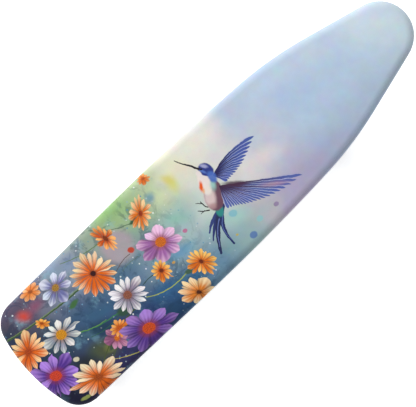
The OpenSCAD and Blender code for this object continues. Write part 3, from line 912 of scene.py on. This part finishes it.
def mottle(tree, art, colour):
    """Blotches where wet paint ran together: light ones first, and deeper ones with a sharper edge."""
    meadow = in_meadow(tree, art, -30, -110)
    pale = remap(tree, grain(tree, art, 0.045, 4.0, 0.6), 0.52, 0.72)
    colour = mix(tree, times(tree, times(tree, pale, meadow), 0.5), colour, ink("86bcd2"))
    deep = remap(tree, grain(tree, art, 0.06, 5.0, 0.65, distortion=1.2), 0.5, 0.6)
    return mix(tree, times(tree, times(tree, deep, meadow), 0.42), colour, ink("0e3252"))


def splatter(tree, art, colour):
    """Small light specks of paint, flicked over the meadow but not over the sky."""
    cells = tree.nodes.new("ShaderNodeTexVoronoi")
    cells.voronoi_dimensions = "2D"
    plug(tree, art, cells.inputs["Vector"])
    cells.inputs["Scale"].default_value = 0.16
    dice = tree.nodes.new("ShaderNodeSeparateXYZ")
    plug(tree, cells.outputs["Color"], dice.inputs[0])
    radius = remap(tree, dice.outputs[0], 0.45, 1.0, -0.02, 0.14, smooth=False)
    speck = remap(tree, calc(tree, "SUBTRACT", cells.outputs["Distance"], radius), 0.03, -0.03)
    tint = mix(tree, remap(tree, dice.outputs[1], 0.3, 0.6), ink("4f8fb4"), ink("eef2f2"))
    meadow = in_meadow(tree, art, -20, -80)
    return mix(tree, times(tree, times(tree, speck, meadow), 0.85), colour, tint)


def paint(tree, places_in, colour):
    """Lays every stroke of the painting on the ground colour. Returns the finished painting."""
    def lay(kind, codes, numbers):
        nonlocal colour
        node = tree.nodes.new("ShaderNodeGroup")
        node.node_tree = BRUSHES[kind]
        for value, socket in zip(places_in + [colour], node.inputs):
            plug(tree, value, socket)
        for value, socket in zip([ink(c) for c in codes] + list(numbers), list(node.inputs)[4:]):
            socket.default_value = value
        colour = node.outputs[0]

    def ovals(rows):
        for code, centre, size, turn, soft, strength in rows:
            lay("wash", [code], (*centre, *size, math.radians(turn), soft, strength))

    def strokes(rows):
        for code, start, end, bow, thick, thin in rows:
            way = Vector(end) - Vector(start)
            lay("stroke", [code], (*start, math.atan2(way.y, way.x), way.length, 4 * bow, thick / 2, thin / 2))

    def fan(codes, centre, turn, spread, feathers, first, last, growth, bend):
        lay("fan", codes, (*centre, math.radians(turn), math.radians(spread), feathers, first, last, growth,
                           math.radians(bend)))

    ovals(WASHES)
    ovals((code, centre, (r, r * 0.85), 20, 0.3, 0.8) for code, centre, r in DROPS)
    strokes(STEMS)
    ovals(LEAVES)
    for root, tip, eye, centre, size, turn, petals, slim, core in FLOWERS:
        lay("flower", (root, tip, eye), (*centre, *size, math.radians(turn), petals, slim, core))
    fan(("231d50", "4a5ca6", "aab4de"), (-4, 16), -24, 90, 14, 15, 58, 1.5, 0.36)
    strokes(TAIL)
    ovals(BIRD_OVALS)
    strokes([("1f1d26", (-18, 22.6), (-42, 30.5), 0.3, 2.2, 0.8)] + CLAWS)
    fan(("3c2244", "5666ac", "bfc4e6"), (2, 6), -74, 83, 19, 24, 86, 1.9, 0.0)
    ovals([("4a2a46", (18, 8), (18, 4), 3, 0.7, 0.9), ("b58ea4", (56, 8), (22, 4), 8, 1.0, 0.75)])
    return colour


# %% [markdown]
# ## Printed cotton
# The cloth itself is a plain weave, two sets of threads that pass over and under each other, about
# two to a millimetre. Ink lies a little unevenly on it. The picture is turned on the cloth, as it is
# on the real cover, and it follows the flat cut, so it carries on over the shoulder and under the rim.

# %% Cotton with the print
THREADS = math.tau / 20 / (0.45 * MM)


def printed_cotton():
    material, tree, shader, where = start_material("printed_cotton")
    flat = add(tree, "Attribute", attribute_name="flat", out=1)
    flat_mm = vector(tree, "SCALE", flat, 1000)
    art = add(tree, "VectorRotate", flat_mm, (0, 0, 0), TURN, rotation_type="Z_AXIS")
    rough = grain(tree, art, 0.12, 4.0, 0.66, out="Color")
    slow = grain(tree, art, 0.02, 2.0, 0.5, out="Color")
    edges = vector(tree, "MULTIPLY_ADD", rough, (2.6, 2.6, 0), vector(tree, "ADD", art, (-1.3, -1.3, 0)))
    clouds = vector(tree, "MULTIPLY_ADD", slow, (50, 36, 0), vector(tree, "ADD", flat_mm, (-25, -18, 0)))
    cloud = tree.nodes.new("ShaderNodeSeparateXYZ")
    plug(tree, clouds, cloud.inputs[0])
    split = tree.nodes.new("ShaderNodeSeparateXYZ")
    plug(tree, edges, split.inputs[0])
    fleck = remap(tree, grain(tree, art, 1.3, 2.0), 0.60, 0.38)
    painting = mottle(tree, art, ground(tree, cloud.outputs[0], cloud.outputs[1]))
    painting = splatter(tree, art, painting)
    painting = paint(tree, [split.outputs[0], split.outputs[1], fleck], painting)
    pools = grain(tree, art, 0.07, 4.0, 0.6, out="Color")
    pools = vector(tree, "MULTIPLY_ADD", pools, (0.3,) * 3, (0.84,) * 3)
    painting = mix(tree, 1.0, painting, pools, "MULTIPLY")
    warp = add(tree, "TexWave", flat, THREADS, wave_type="BANDS", bands_direction="X")
    weft = add(tree, "TexWave", flat, THREADS, wave_type="BANDS", bands_direction="Y")
    fuzz = grain(tree, where, 2600, 2.0, 0.7)
    weave = calc(tree, "MULTIPLY_ADD", calc(tree, "MAXIMUM", warp, weft), 0.6, times(tree, fuzz, 0.4))
    tone = remap(tree, weave, 0.1, 0.9, 0.93, 1.04, smooth=False)
    painting = mix(tree, 1.0, painting, add(tree, "CombineColor", tone, tone, tone), "MULTIPLY")
    finish(tree, shader, Base_Color=painting, Roughness=0.8, Sheen_Weight=0.1, Specular_IOR_Level=0.3)
    bump(tree, shader, weave, 0.08 * MM, 0.7)
    return material


cotton = printed_cotton()
print("cotton has", len(cotton.node_tree.nodes), "nodes")

# %% [markdown]
# ## Giving each piece its finish and its place in the machine
# Each piece rides on the body that carries it, stands for the frame's part that it hides, and
# says which finish it takes. The area inside the cover's outline is worked out as well.

# %% Finishes, bodies and cloth facts
FINISHES = {"cover_cloth": cotton, "binding_tape": tape_finish, "elastic": elastic_finish, "felt": felt_finish,
            "zinc_steel": zinc, "coated_rod": coated, "spring_steel": spring, "rivet_steel": bright_zinc,
            "rubber": rubber}
body_of = {n: body for body, ns in frame["record"]["behaviour"]["bodies"].items() for n in ns}
slot_of = {s["node"]: s["material_slot"] for s in frame["record"]["subparts"]}


def dress(piece, node, hides=True):
    """The piece rides with the node's body, takes its slot's finish and, as a rule, stands for it."""
    piece.data.materials.clear()
    piece.data.materials.append(FINISHES[slot_of[node]])
    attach(piece, body_of[node])
    if hides:
        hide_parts(node)


for piece, node in ((cover, "cover"), (binding, "hem_binding"), (elastic, "hem_elastic"), (felt_pad, "pad"),
                    (base_rod, "base_loop"), (arms["rear_arm"], "rear_arm"), (arms["front_arm"], "front_arm")):
    dress(piece, node)
for node, piece in softened.items():
    dress(piece, node)
dress(stitches, "hem_binding", hides=False)
stitches.data.materials[0] = thread_finish

top_area = sum(places[i - 1][0].cross(places[i][0]) for i in range(count)) / 2

# %% [markdown]
# ## Floor and light
# The board is shown on a plain pale table, whose own glow keeps the shadow on it faint. A dim
# white sky fills in, and one very large lamp high on the far side gives the light its direction, so the
# near side of the cover falls into shade.

# %% Table and lamps
bm = bmesh.new()
bmesh.ops.create_grid(bm, x_segments=1, y_segments=1, size=6)
table = make_piece("pale_table", bm)
table_finish, tree, shader, where = start_material("pale_table")
shade = grain(tree, where, 3, 3.0)
tree.links.new(mix(tree, shade, ink("fbfbfb"), ink("f7f7f7")), shader.inputs["Base Color"])
shader.inputs["Roughness"].default_value = 0.9
shader.inputs["Emission Color"].default_value = (1, 1, 1, 1)
shader.inputs["Emission Strength"].default_value = 0.62
table.data.materials.append(table_finish)

world = bpy.data.worlds.new("white_sky")
world.use_nodes = True
world.node_tree.nodes["Background"].inputs["Color"].default_value = (1, 1, 1, 1)
world.node_tree.nodes["Background"].inputs["Strength"].default_value = 0.34
scene.world = world


def lamp(name, place, target, size, power):
    data = bpy.data.lights.new(name, "AREA")
    data.size = size
    data.energy = power
    light = bpy.data.objects.new(name, data)
    light.location = place
    light.rotation_euler = (Vector(target) - Vector(place)).to_track_quat("-Z", "Y").to_euler()
    scene.collection.objects.link(light)


lamp("window_lamp", (-0.2, 1.7, 1.9), (0, 0, 0.1), 2.2, 62)
